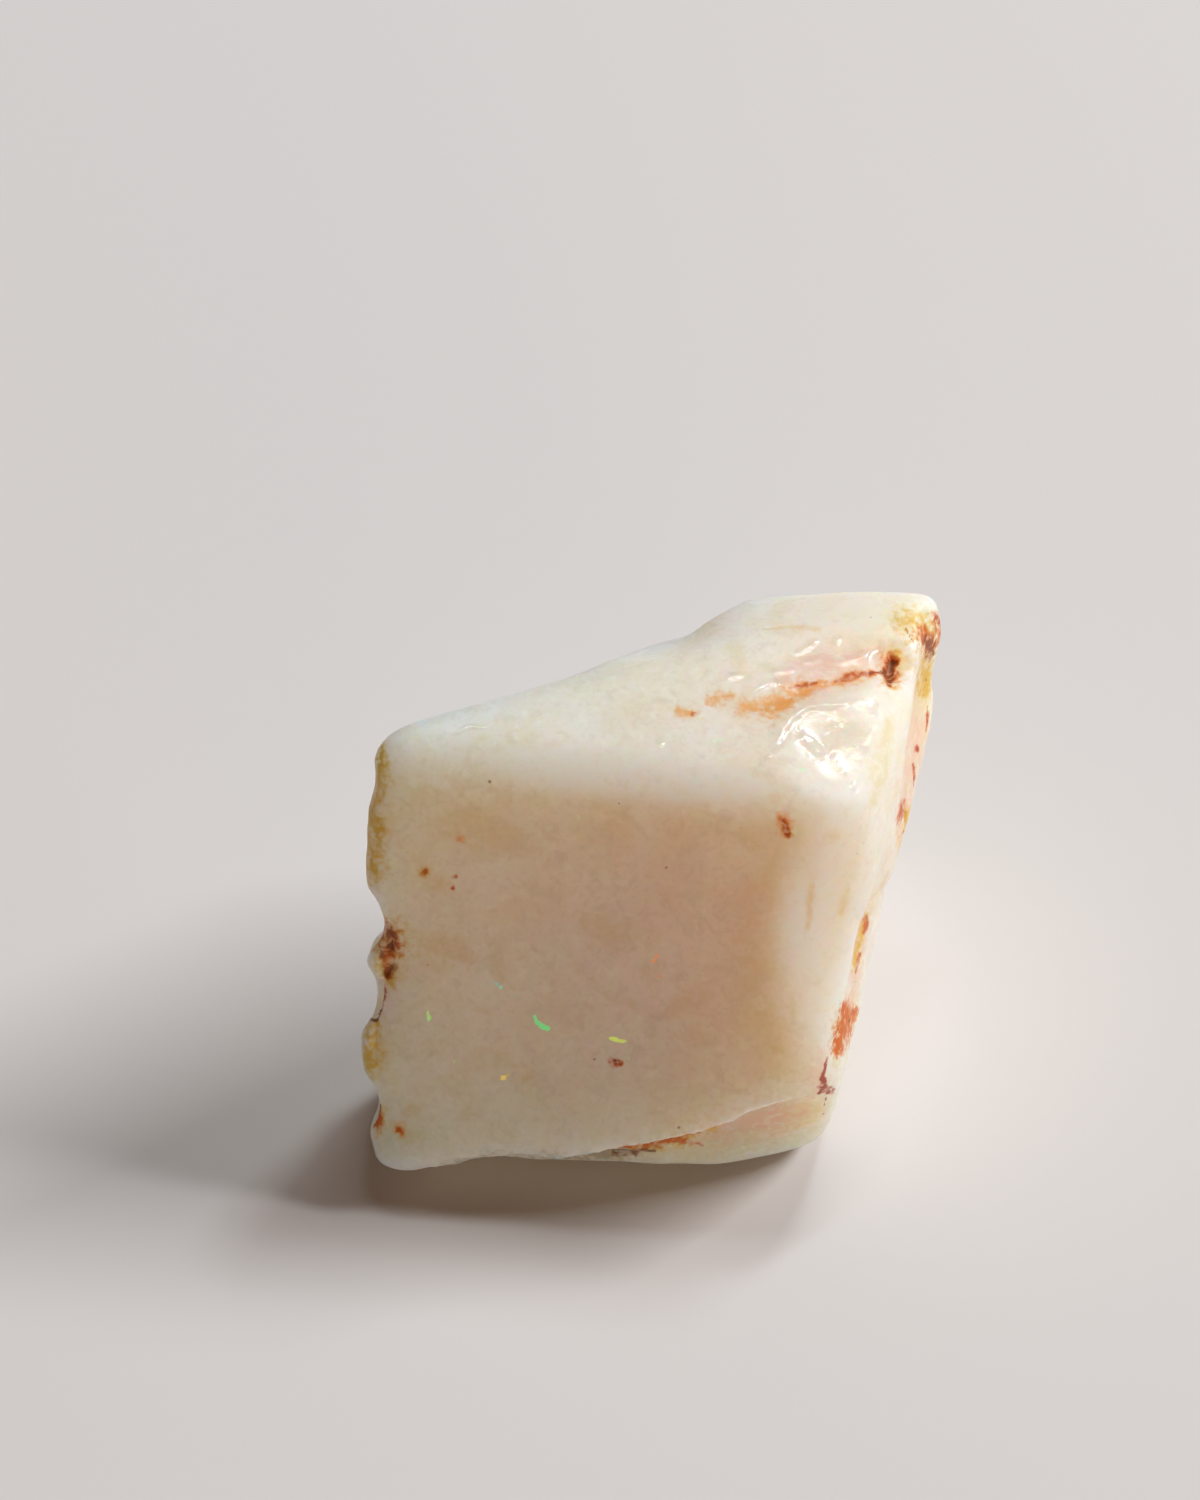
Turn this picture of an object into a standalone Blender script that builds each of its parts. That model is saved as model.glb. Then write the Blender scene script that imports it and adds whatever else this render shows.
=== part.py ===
"""Rough opal: one piece of milky precious opal, broken along flat fractures and worn soft at the edges.

The stone is described as what is left of a block after each fracture has taken its side off, and after each
flake that later came away has left its shallow bowl. A fracture is a plane, given by the way it faces and its
distance from the core of the stone. A flake's scar is part of an ellipsoid. Worn edges are smooth joins between
them, and cracks are narrow grooves. An icosphere round the core is wrapped onto that form, remeshed evenly and
settled on the form again, thinned out where it is flat, and cut off level where the stone rests.
"""

import math

import bmesh
import bpy
import numpy as np

MM = 0.001
NAME = "opal"

# Driving dimensions, in millimetres. X runs left to right, Y front to back, and the stone rests on Z = 0.
CORE = (0.0, 0.0, 10.5)

# How finely the form is measured, also in millimetres, and how many triangles the finished stone keeps.
FAR_AWAY = 1000.0
LONGEST_RAY = 30.0
WRAP_SUBDIVISIONS = 5
WRAP_HALVINGS = 16
MESH_SPACING = 0.26
SETTLING_PASSES = 4
SLOPE_STEP = 0.01
SMOOTHING_PASSES = 2
TRIANGLES = 8200
CUT_TOLERANCE = 1e-7

# Each fracture: the compass way it faces (0 is +X, 90 is +Y), its tilt above the horizon, its distance from
# the core, and how far its worn edge with the fractures before it reaches.
FRACTURES = {
    "front": (-97.2, 29.3, 8.25, 0.0),
    "top": (45.0, 88.0, 12.0, 2.7),
    "right": (-19.5, 5.9, 12.3, 2.2),
    "far_right": (-11.5, -8.3, 11.95, 1.0),
    "left": (176.0, 0.0, 14.5, 0.9),
    "back_slope": (106.2, 55.0, 13.2, 1.2),
    "back_left": (121.0, -8.0, 5.8, 1.0),
    "back": (79.0, -3.0, 12.8, 1.4),
    "back_lower": (84.0, -26.0, 11.6, 1.6),
    "back_right": (42.0, -6.0, 17.2, 0.7),
    "lower_right": (-76.0, -8.0, 13.15, 0.9),
    "under_front": (-91.0, -56.0, 13.75, 0.6),
    "under_left": (185.0, -50.0, 16.2, 0.7),
    "under_right": (-22.0, -46.0, 15.3, 1.2),
    "back_left_low": (135.0, -30.0, 9.0, 0.9),
    "right_low": (12.0, -32.0, 13.0, 0.9),
    "rest": (0.0, -90.0, 10.75, 1.4),
}

# Each flake's scar: where its middle was on the unbroken stone, the compass way and the tilt it faces, its
# length, width and depth, how far its length is turned from level, and how far the wear on its rim reaches.
FLAKES = {
    "front_dish": ((-3.0, -7.4, 13.6), (-97, 29), 22.0, 18.0, 0.50, 10, 0.5),
    "top_hollow": ((8.7, -0.6, 22.3), (-20, 79), 6.8, 5.8, 0.50, 30, 0.3),
    "top_shelf": ((8.4, 5.6, 22.4), (80, 86), 9.0, 4.4, 0.30, 22, 0.3),
    "top_kink": ((0.6, 7.2, 21.6), (108, 50), 5.0, 3.6, 0.55, 0, 0.5),
    "top_edge_dish": ((-4.2, 6.0, 21.0), (121, 25), 10.0, 5.0, 0.60, 0, 0.6),
    "crack_mouth": ((12.1, 5.7, 21.6), (-10, 65), 2.0, 1.6, 0.40, 60, 0.3),
    "corner_pit": ((14.4, 8.2, 20.5), (-20, 40), 3.0, 1.8, 0.50, 60, 0.3),
    "right_flute": ((8.6, -6.8, 15.9), (-56, 20), 9.6, 6.6, 0.75, 52, 1.2),
    "right_flute_low": ((10.2, -6.6, 13.0), (-32, 12), 9.0, 3.2, 0.22, 52, 0.3),
    "ledge_upper": ((13.5, 3.6, 16.6), (-8, 4), 12.0, 6.4, 0.65, 32, 0.4),
    "ledge_lower": ((10.7, -6.2, 11.0), (-12, 0), 11.0, 4.4, 0.50, 45, 0.35),
    "right_heel": ((12.4, 1.0, 5.6), (-8, -16), 10.0, 4.6, 0.60, 24, 0.2),
    "left_flute_top": ((-14.6, -0.6, 20.0), (184, 10), 6.0, 2.4, 0.30, 52, 0.3),
    "left_flute_high": ((-14.8, -3.6, 12.2), (180, 4), 12.0, 3.4, 0.85, 52, 0.35),
    "left_flute_middle": ((-15.0, -5.6, 8.4), (182, 2), 10.0, 3.3, 0.90, 55, 0.35),
    "left_flute_low": ((-15.2, -8.6, 3.6), (182, 2), 9.0, 2.8, 1.00, 50, 0.3),
    "left_flute_foot": ((-15.2, -10.8, 1.6), (180, -6), 8.0, 2.6, 0.90, 50, 0.3),
    "foot_flake_left": ((-8.0, -12.4, 2.7), (-92, -10), 4.8, 1.7, 0.42, 4, 0.25),
    "foot_flake_right": ((-2.8, -12.3, 2.6), (-90, -12), 6.4, 1.9, 0.50, 6, 0.25),
    "back_left_bowl": ((-6.2, 3.4, 12.4), (121, -8), 13.0, 8.6, 1.10, 24, 0.2),
    "back_left_chip": ((-11.6, 0.0, 7.0), (128, -14), 7.5, 4.4, 0.70, -28, 0.15),
    "back_left_step": ((-1.4, 6.0, 6.4), (114, -18), 9.0, 5.4, 0.90, 12, 0.15),
    "back_bowl": ((7.6, 11.6, 11.6), (76, -4), 9.6, 7.8, 0.80, 60, 0.2),
    "back_foot": ((6.0, 9.2, 4.0), (84, -24), 9.0, 4.4, 0.60, -12, 0.2),
    "back_right_chip": ((13.8, 9.0, 12.2), (40, -6), 9.0, 3.6, 0.50, 82, 0.15),
}

# Each crack: the points it runs through, its half width, and its depth.
CRACKS = {
    "top_crack": (
        ((12.1, 5.6, 21.7), (11.0, 4.8, 22.0), (9.5, 4.1, 22.3), (7.4, 3.4, 22.4), (5.4, 2.5, 22.5)),
        0.65,
        0.32,
    ),
}


def facing(azimuth, tilt):
    """The unit vector of a face that looks this compass way, tilted this far above the horizon."""
    around, up = math.radians(azimuth), math.radians(tilt)
    return np.array([math.cos(around) * math.cos(up), math.sin(around) * math.cos(up), math.sin(up)])


def worn_join(one, other, reach):
    """The larger of two distances, rounded over where they differ by less than the reach of the wear."""
    if reach <= 0.0:
        return np.maximum(one, other)
    near = np.maximum(reach - np.abs(one - other), 0.0) / reach
    return np.maximum(one, other) + near * near * reach / 4.0


def inside_flake(points, middle, faces, length, width, depth, turn):
    """How far each point lies inside the ellipsoid that a flake's scar is part of; negative outside it."""
    out = facing(*faces)
    level = np.array([-math.sin(math.radians(faces[0])), math.cos(math.radians(faces[0])), 0.0])
    rise = np.cross(out, level)
    along = math.cos(math.radians(turn)) * level + math.sin(math.radians(turn)) * rise
    across = np.cross(out, along)
    radius = (width * width / 4.0 + depth * depth) / (2.0 * depth)
    offset = points - (np.array(middle) + out * (radius - depth))
    shrunk = np.stack([offset @ along * width / length, offset @ across, offset @ out])
    return radius - np.linalg.norm(shrunk, axis=0)


def inside_crack(points, line, half_width, depth):
    """How far the crack lowers the stone at each point: most on its line, nothing past its half width."""
    nearest = np.full(len(points), FAR_AWAY)
    for start, end in zip(np.array(line[:-1]), np.array(line[1:])):
        run = end - start
        share = np.clip((points - start) @ run / (run @ run), 0.0, 1.0)
        nearest = np.minimum(nearest, np.linalg.norm(points - start - share[:, None] * run, axis=1))
    return depth * np.maximum(1.0 - (nearest / half_width) ** 2, 0.0) ** 2


def height_above_stone(points):
    """How far each point lies outside the stone, in millimetres; negative inside."""
    offset = points - np.array(CORE)
    height = np.full(len(points), -FAR_AWAY)
    for azimuth, tilt, distance, reach in FRACTURES.values():
        height = worn_join(height, offset @ facing(azimuth, tilt) - distance, reach)
    for middle, faces, length, width, depth, turn, wear in FLAKES.values():
        height = worn_join(height, inside_flake(points, middle, faces, length, width, depth, turn), wear)
    for line, half_width, depth in CRACKS.values():
        height = height + inside_crack(points, line, half_width, depth)
    return height


def wrap(directions):
    """Where a ray from the core, in each direction, leaves the stone."""
    core = np.array(CORE)
    inner, outer = np.zeros(len(directions)), np.full(len(directions), LONGEST_RAY)
    for _ in range(WRAP_HALVINGS):
        middle = (inner + outer) / 2.0
        outside = height_above_stone(core + directions * middle[:, None]) > 0.0
        outer = np.where(outside, middle, outer)
        inner = np.where(outside, inner, middle)
    return core + directions * outer[:, None]


def clear_scene():
    for old in list(bpy.data.objects):
        bpy.data.objects.remove(old)


def opal_material():
    material = bpy.data.materials.new("milky_opal")
    material.use_nodes = True
    shader = material.node_tree.nodes["Principled BSDF"]
    shader.inputs["Base Color"].default_value = (0.80, 0.74, 0.63, 1.0)
    shader.inputs["Roughness"].default_value = 0.25
    shader.inputs["Metallic"].default_value = 0.0
    return material


def wrapped_stone():
    """An icosphere with each vertex moved along its ray to the surface of the stone, in metres."""
    mesh = bpy.data.meshes.new(NAME)
    shape = bmesh.new()
    bmesh.ops.create_icosphere(shape, subdivisions=WRAP_SUBDIVISIONS, radius=1.0)
    rays = np.array([vertex.co.normalized() for vertex in shape.verts])
    for vertex, place in zip(shape.verts, wrap(rays) * MM):
        vertex.co = place
    shape.to_mesh(mesh)
    shape.free()
    return mesh


def with_modifier(stone, kind, **settings):
    """Puts one modifier's result in place of the stone's mesh."""
    modifier = stone.modifiers.new(kind.lower(), kind)
    for name, value in settings.items():
        setattr(modifier, name, value)
    graph = bpy.context.evaluated_depsgraph_get()
    result = bpy.data.meshes.new_from_object(stone.evaluated_get(graph))
    stone.modifiers.remove(modifier)
    stone.data = result


def settle(mesh):
    """Moves each vertex down the slope of the height onto the stone's surface."""
    points = np.array([vertex.co for vertex in mesh.vertices]) / MM
    for _ in range(SETTLING_PASSES):
        height = height_above_stone(points)
        rises = [height_above_stone(points + step) - height for step in np.eye(3) * SLOPE_STEP]
        slope = np.stack(rises, axis=1) / SLOPE_STEP
        points -= slope * (height / np.sum(slope * slope, axis=1))[:, None]
    mesh.vertices.foreach_set("co", (points * MM).ravel())
    mesh.update()


def cut_rest_face(mesh):
    """Cuts the stone off at Z = 0 and closes the cut with the flat face that it rests on."""
    shape = bmesh.new()
    shape.from_mesh(mesh)
    everything = shape.verts[:] + shape.edges[:] + shape.faces[:]
    bmesh.ops.bisect_plane(
        shape, geom=everything, dist=CUT_TOLERANCE, plane_co=(0, 0, 0), plane_no=(0, 0, -1), clear_outer=True
    )
    rim = [edge for edge in shape.edges if edge.is_boundary]
    bmesh.ops.contextual_create(shape, geom=rim)
    bmesh.ops.recalc_face_normals(shape, faces=shape.faces[:])
    shape.to_mesh(mesh)
    shape.free()


def centre_on_origin(mesh):
    """Puts the middle of the stone's plan over the origin."""
    points = np.array([vertex.co for vertex in mesh.vertices])
    middle = (points.min(axis=0) + points.max(axis=0)) / 2.0
    for vertex in mesh.vertices:
        vertex.co.x -= middle[0]
        vertex.co.y -= middle[1]


clear_scene()
specimen = bpy.data.collections.new("rough_opal")
bpy.context.scene.collection.children.link(specimen)
stone = bpy.data.objects.new(NAME, wrapped_stone())
specimen.objects.link(stone)
with_modifier(stone, "REMESH", mode="VOXEL", voxel_size=MESH_SPACING * MM)
settle(stone.data)
with_modifier(stone, "SMOOTH", factor=0.5, iterations=SMOOTHING_PASSES)
with_modifier(stone, "TRIANGULATE")
with_modifier(stone, "DECIMATE", ratio=TRIANGLES / len(stone.data.polygons))
cut_rest_face(stone.data)
centre_on_origin(stone.data)
stone.data.materials.append(opal_material())
stone.data.shade_smooth()
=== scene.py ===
import math

import bmesh
import bpy
import numpy as np
from mathutils import Matrix, Vector, noise
from mathutils.bvhtree import BVHTree


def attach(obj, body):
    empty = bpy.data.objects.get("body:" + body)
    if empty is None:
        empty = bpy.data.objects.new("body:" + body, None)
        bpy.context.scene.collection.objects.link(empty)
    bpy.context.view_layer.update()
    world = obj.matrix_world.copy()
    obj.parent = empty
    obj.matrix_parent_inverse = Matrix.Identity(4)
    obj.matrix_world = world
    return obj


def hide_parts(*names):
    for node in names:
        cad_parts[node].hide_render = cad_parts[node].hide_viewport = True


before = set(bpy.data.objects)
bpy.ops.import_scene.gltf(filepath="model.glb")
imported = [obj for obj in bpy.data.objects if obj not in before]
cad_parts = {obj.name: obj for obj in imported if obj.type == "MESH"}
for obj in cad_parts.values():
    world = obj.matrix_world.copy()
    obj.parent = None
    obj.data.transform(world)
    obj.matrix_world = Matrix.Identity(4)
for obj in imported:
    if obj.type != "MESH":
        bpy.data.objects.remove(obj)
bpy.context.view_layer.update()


# ----------------------------------------------------------------------------------------
# The opal, skin. One broken lump of milky common opal, 30 mm long, snapped along flat and
# shell-shaped fractures and then a little water-worn. The skin starts on the plain lump
# that the frame carries and is made even and fine. All its lengths are in millimetres.
# ----------------------------------------------------------------------------------------
MM = 0.001
GRAIN = 0.22         # between the points of the skin
SETTLE = 0.5         # how far a point moves to the middle of its neighbours
SETTLE_TIMES = 9
LINE_STEP = 0.35     # between the points of a line that is laid on the skin
SIGHT = np.array((0.0, -0.616, 0.788))   # up and forwards: marks are placed along this
SIGHT_REACH = 20.0   # how far out a place starts on its way to the skin
SIGHT_SLIP = 3.0     # a place further than this from the seen skin is on a hidden face
SIGHT_SHARE = 0.4    # the share of a depth along SIGHT that counts as distance


def even_skin(lump):
    """A copy of the lump whose points lie GRAIN apart, with its facets melted away."""
    skin = bpy.data.objects.new("opal_stone", lump.data.copy())
    bpy.context.scene.collection.objects.link(skin)
    remesh = skin.modifiers.new("even_grain", "REMESH")
    remesh.mode = "VOXEL"
    remesh.voxel_size = GRAIN * MM
    settle = skin.modifiers.new("settle", "SMOOTH")
    settle.factor = SETTLE
    settle.iterations = SETTLE_TIMES
    seen = skin.evaluated_get(bpy.context.evaluated_depsgraph_get())
    mesh = bpy.data.meshes.new_from_object(seen)
    skin.modifiers.clear()
    skin.data = mesh
    mesh.name = "opal_stone"
    return skin


def places_of(mesh):
    """The mesh's points in millimetres, one row each."""
    places = np.zeros(len(mesh.vertices) * 3)
    mesh.vertices.foreach_get("co", places)
    return places.reshape(-1, 3) / MM


def facings_of(mesh):
    """The way each point of the mesh faces."""
    facings = np.zeros(len(mesh.vertices) * 3)
    mesh.vertex_normals.foreach_get("vector", facings)
    return facings.reshape(-1, 3)


def place_on_skin(place):
    """The place moved along SIGHT onto the skin, or on a hidden face to the nearest skin."""
    start = Vector(place + SIGHT * SIGHT_REACH) * MM
    seen = bare_skin.ray_cast(start, Vector(-SIGHT))[0]
    if seen is None or (seen / MM - Vector(place)).length > SIGHT_SLIP:
        seen = bare_skin.find_nearest(Vector(place) * MM)[0]
    return seen / MM


def on_skin(line):
    """A bent line's points, LINE_STEP apart and laid on the skin."""
    line = np.array(line, float).reshape(-1, 3)
    laid = [line[0]]
    for start, end in zip(line, line[1:]):
        steps = max(1, round(np.linalg.norm(end - start) / LINE_STEP))
        laid += [start + (end - start) * k / steps for k in range(1, steps + 1)]
    return np.array([place_on_skin(place) for place in laid])


def pressed(places):
    """The places pressed together along SIGHT, so that a mark runs on that way over a bump."""
    return places - np.outer(places @ SIGHT, SIGHT) * (1.0 - SIGHT_SHARE)


def gap_to(line, places):
    """Each pressed place's distance to a bent line."""
    line = pressed(line)
    gaps = np.linalg.norm(places - line[0], axis=1)
    for start, end in zip(line, line[1:]):
        step = end - start
        t = np.clip((places - start) @ step / max(step @ step, 1e-9), 0.0, 1.0)
        gaps = np.minimum(gaps, np.linalg.norm(places - start - t[:, None] * step, axis=1))
    return gaps


opal = even_skin(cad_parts["opal"])
bare_skin = BVHTree.FromObject(opal, bpy.context.evaluated_depsgraph_get())


# ----------------------------------------------------------------------------------------
# The opal, stains. Iron from the ground has soaked into its cracks, pits and edges: red
# and orange rust, yellow ochre, nearly black umber, and a pink blush where it is thin.
# Milk and tan are the opal's own whiter and browner places. The dark band under the front
# edge is painted shade, and part of the darkening right of the hollow is painted shade too.
# Each mark is a spot or a line on the skin and the width that it spreads to.
# ----------------------------------------------------------------------------------------
STAINS = {
    "milk": {
        "flank": (
            [
                (9.8, -2.4, 20.8), (9.0, -4.2, 18.6), (8.6, -5.2, 17.0), (8.5, -6.2, 14.8),
                (8.8, -7.4, 12.6), (9.0, -8.6, 10.8),
            ],
            2.5,
        ),
        "hollow": ([(8.2, 2.2, 22.0), (10.6, 0.8, 21.9), (11.2, -1.2, 21.4)], 2.4),
        "behind the crack": ([(8.6, 9.4, 21.5), (11.8, 9.6, 21.5)], 1.4),
        "front of the crack": ([(9.4, 3.9, 22.0), (11.4, 4.6, 21.9)], 0.8),
        "front edge of the top": ([(-8.0, -0.6, 22.2), (0.0, -1.6, 22.2), (6.0, -2.2, 22.0)], 1.3),
    },
    "tan": {
        "low facet": ([(0.6, -11.9, 4.2), (5.0, -11.0, 4.6), (9.0, -10.2, 5.6)], 2.2),
        "front, beside the flank": (
            [
                (6.2, -5.2, 18.6), (5.2, -6.4, 16.2), (5.0, -7.4, 13.8), (5.8, -8.6, 11.6),
                (6.6, -9.4, 9.8),
            ],
            1.8,
        ),
        "front, upper left": ([(-10.6, -2.6, 19.4), (-7.0, -3.0, 19.2)], 1.4),
        "front, middle": ([(-3.4, -5.4, 15.2), (-1.4, -5.8, 14.6)], 1.2),
        "front, low right": ([(1.2, -8.2, 11.0), (2.6, -7.6, 11.8)], 1.0),
        "front, low left": ([(-8.8, -9.0, 8.4), (-6.8, -9.3, 8.0)], 1.0),
        "front, by the pit": ([(-12.0, -5.4, 14.0), (-10.6, -6.4, 12.2)], 1.2),
        # partly painted shade: a yellow-grey tint that also darkens the lamp-lit edge right of the hollow
        "painted shade right of the hollow": ([(12.4, 3.0, 21.4), (12.0, 0.6, 20.9), (11.4, -1.6, 20.2)], 0.8),
        "back face": ([(4.0, 10.0, 15.0), (-1.0, 7.0, 11.0), (-4.0, 4.0, 6.0)], 2.2),
        "back face, low": ([(-11.0, -0.4, 6.0), (-8.0, 1.5, 3.0)], 1.8),
        "right face": ([(13.4, 3.4, 11.5), (12.0, 4.0, 6.0)], 2.0),
        "left face": ([(-14.3, -5.6, 6.0), (-14.6, -4.5, 3.5)], 1.4),
    },
    "straw": {
        "patch left of the crack": ([(4.4, 2.9, 22.3), (6.2, 3.0, 22.3), (8.0, 3.9, 22.1)], 1.3),
        "flake line on the back edge": ([(6.0, 8.2, 22.0), (7.4, 8.3, 22.0), (8.8, 8.2, 22.1)], 0.26),
        "far corner": ([(12.9, 8.6, 22.0), (14.0, 9.4, 21.6)], 1.3),
        "scar": ([(-10.7, -4.0, 16.6)], 0.9),
        "right strip": ([(13.5, 7.0, 20.8), (14.2, 8.3, 16.8), (13.7, 5.0, 15.3), (13.0, 1.0, 15.0)], 1.7),
        "flank streak": ([(8.3, -5.1, 17.7), (8.2, -5.7, 16.1), (8.0, -6.1, 15.4)], 0.3),
        "flank streak, short": ([(10.1, -4.5, 16.4), (9.9, -5.1, 15.4)], 0.25),
        "flank spot": ([(9.3, -3.9, 20.3)], 0.5),
        "ledge": ([(12.3, -0.5, 12.2), (11.2, -3.4, 12.2), (10.8, -5.0, 10.4)], 0.9),
        "low ledge": ([(10.8, -5.0, 10.4), (10.3, -7.0, 9.0), (9.7, -9.2, 7.8)], 0.9),
        "shade on the left of the front": ([(-10.7, -5.6, 13.6), (-9.4, -6.0, 12.9)], 1.5),
        "spot low on the front": ([(-6.3, -9.7, 7.4)], 0.9),
        "spot low on the left": ([(-12.3, -10.3, 5.4)], 0.7),
        "left edge": ([(-13.6, 0.2, 21.8), (-14.2, -2.4, 18.6), (-14.2, -3.9, 16.0)], 1.3),
        "left edge, low": ([(-14.3, -7.4, 9.8), (-14.4, -9.2, 7.0)], 1.2),
        "under the front edge": ([(-1.5, -12.1, 3.6), (3.0, -11.4, 4.0), (8.5, -10.2, 5.4)], 1.8),
        "low facet, streaks": ([(1.5, -11.8, 4.2), (4.5, -11.2, 5.2), (8.2, -10.7, 6.6)], 0.25),
        "low facet, middle streak": ([(2.5, -11.5, 3.4), (5.5, -10.9, 4.4), (8.6, -10.2, 5.2)], 0.2),
        "low facet, low streak": ([(3.5, -11.2, 2.8), (6.5, -10.6, 3.4), (8.9, -10.0, 4.2)], 0.2),
        # partly painted shade: darkens the lamp-lit edge right of the hollow
        "painted shade right of the hollow": ([(12.2, 2.6, 21.4), (11.9, 0.6, 20.9), (11.4, -1.6, 20.2)], 0.7),
        "cloud on the back face": ([(3.0, 9.0, 15.0), (-2.0, 6.5, 10.0)], 3.2),
        "cloud low on the back": ([(-10.0, 0.5, 6.0), (-8.0, 1.5, 3.0)], 2.4),
        "cloud on the right face": ([(12.8, 5.0, 11.0), (11.5, 3.0, 5.0)], 2.6),
    },
    "blush": {
        "above the crack": ([(7.0, 4.9, 22.2), (9.6, 5.6, 22.1), (11.8, 6.6, 21.9)], 1.5),
        "band": ([(7.2, 4.2, 22.2), (9.8, 4.9, 22.0), (11.6, 5.7, 21.8)], 0.9),
        "right strip, low": ([(14.0, 7.0, 15.6), (13.7, 4.8, 14.5), (13.1, 2.0, 14.5)], 1.9),
        "ledge": ([(11.2, -3.4, 12.2), (10.3, -7.0, 9.0)], 0.9),
        "low corner": ([(8.9, -9.8, 9.8), (8.7, -10.4, 9.2), (8.9, -10.5, 7.6)], 0.8),
        "low corner, branch": ([(8.9, -10.5, 7.8), (8.4, -10.7, 7.1)], 0.4),
        "foot of the pit": ([(-13.6, -6.6, 11.6), (-13.9, -7.3, 10.2)], 1.1),
        "on the front": ([(6.4, -2.6, 21.8)], 0.4),
        "low facet": ([(2.0, -11.6, 4.6), (5.0, -11.0, 4.6), (8.0, -10.4, 5.4)], 1.2),
    },
    # painted shade: a dark olive band under the overhanging front edge, where shade falls
    "painted_shade_under_lip": {
        "under the front edge": (
            [
                (-10.8, -11.8, 2.2), (-8.8, -11.8, 2.4), (-6.6, -12.0, 2.7), (-4.8, -12.3, 3.2),
                (-2.4, -12.3, 3.7),
            ],
            0.6,
        ),
        "under the front edge, right": ([(-2.4, -12.3, 3.7), (0.6, -12.1, 4.1)], 0.5),
    },
    "amber": {
        "patch left of the crack": ([(4.8, 2.8, 22.3), (6.0, 2.8, 22.3), (7.2, 3.4, 22.2)], 0.8),
        "end of the band": ([(7.2, 3.8, 22.1), (8.2, 4.1, 22.0)], 0.42),
        "band": ([(11.8, 5.7, 21.6), (10.9, 5.3, 21.9), (9.5, 4.7, 22.0), (8.0, 4.4, 22.1)], 0.42),
        "band, end": ([(8.8, 4.6, 22.1), (7.9, 4.4, 22.1), (6.8, 4.1, 22.2)], 0.45),
        "patch, bright end": ([(6.1, 2.9, 22.3), (7.3, 3.3, 22.2)], 0.42),
        "left of the patch": ([(4.1, 3.4, 22.4), (3.2, 3.2, 22.4)], 0.45),
        "left of the patch, far": ([(2.3, 2.3, 22.4), (1.5, 2.5, 22.4)], 0.5),
        "mouth": ([(12.7, 7.0, 21.5), (12.3, 6.2, 21.2), (12.5, 4.6, 21.9)], 0.75),
        "right strip": ([(14.2, 8.7, 17.7), (14.2, 8.3, 16.7)], 0.5),
        "ledge": ([(11.1, -3.4, 12.2), (10.8, -4.2, 11.4), (10.7, -4.8, 10.6)], 0.36),
        "round the crack in the right face": (
            [(13.4, 2.4, 14.0), (13.3, 3.4, 11.5), (12.9, 4.4, 8.5), (11.9, 1.5, 6.5)], 0.8,
        ),
        "round the crack in the back": (
            [
                (-6.5, 3.9, 16.2), (-4.6, 3.9, 13.8), (-1.5, 6.2, 12.2), (1.0, 8.0, 11.6),
                (3.6, 9.5, 9.0),
            ],
            0.7,
        ),
        "low ledge": ([(10.8, -6.1, 8.0), (10.1, -7.6, 9.2), (9.8, -9.0, 8.9)], 0.75),
        "foot, spot": ([(-12.8, -10.8, 4.4)], 0.42),
        "faint spot on the front": ([(-9.7, -2.9, 18.8)], 0.28),
        "round the spot on the front": ([(6.6, -3.4, 21.2), (7.0, -4.0, 20.7)], 0.34),
    },
    "ochre": {
        "far corner": ([(13.0, 8.8, 22.0), (13.8, 8.7, 21.6), (14.2, 9.0, 20.6), (14.2, 8.8, 18.4)], 1.1),
        "right strip": ([(14.2, 8.9, 18.2), (14.2, 8.3, 16.7)], 0.85),
        "ledge line": ([(11.4, -3.0, 12.4), (10.8, -4.6, 11.6), (10.6, -5.6, 11.2)], 0.28),
        "spot on the low facet": ([(6.0, -11.1, 6.2)], 0.28),
        "scar, spot": ([(-11.4, -3.7, 17.1)], 0.4),
        "left edge, top": ([(-13.4, 0.3, 22.0), (-13.8, -0.6, 21.0), (-14.1, -1.6, 19.6)], 0.7),
        "left edge, middle": ([(-13.8, -2.2, 19.4), (-13.9, -2.8, 18.3)], 0.6),
        "pit": ([(-13.7, -4.6, 14.4), (-13.4, -5.7, 13.1), (-13.5, -6.7, 11.4)], 1.1),
        "left edge, low": ([(-14.3, -8.3, 8.3), (-14.2, -8.9, 7.4)], 0.6),
        "foot": ([(-14.0, -10.1, 5.3), (-14.0, -10.8, 4.2)], 0.5),
        "under the front edge": ([(-0.6, -12.2, 4.2), (1.8, -11.9, 4.6), (3.4, -11.5, 5.0)], 0.7),
        "left face": ([(-14.3, -0.8, 19.0), (-14.3, -1.5, 16.0), (-13.9, -2.0, 12.0)], 0.8),
        "left face, crack": (
            [(-14.0, -3.2, 13.2), (-13.9, -1.8, 11.6), (-12.4, -0.3, 10.4), (-10.2, 0.7, 9.6)], 0.55,
        ),
        "left face, low": ([(-14.1, -7.5, 9.0), (-14.3, -6.0, 6.0), (-14.6, -4.5, 3.5)], 0.5),
        "back face": ([(-9.0, 3.0, 18.5), (-6.5, 3.9, 16.2), (-4.6, 3.9, 13.8), (-1.5, 6.2, 12.2)], 0.3),
        "back face, low": ([(-1.5, 6.2, 12.2), (1.0, 8.0, 11.6), (3.6, 9.5, 9.0), (5.2, 9.9, 7.0)], 0.36),
        "back face, branch": ([(-4.6, 3.9, 13.8), (-4.4, 3.6, 10.8), (-3.2, 4.4, 8.0)], 0.26),
        "back corner": ([(12.5, 10.9, 12.0), (11.5, 10.8, 7.0), (10.0, 10.2, 3.5)], 0.7),
        "right face": ([(13.4, 2.4, 14.0), (13.3, 3.4, 11.5), (12.9, 4.4, 8.5), (12.4, 6.0, 6.5)], 0.3),
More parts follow.
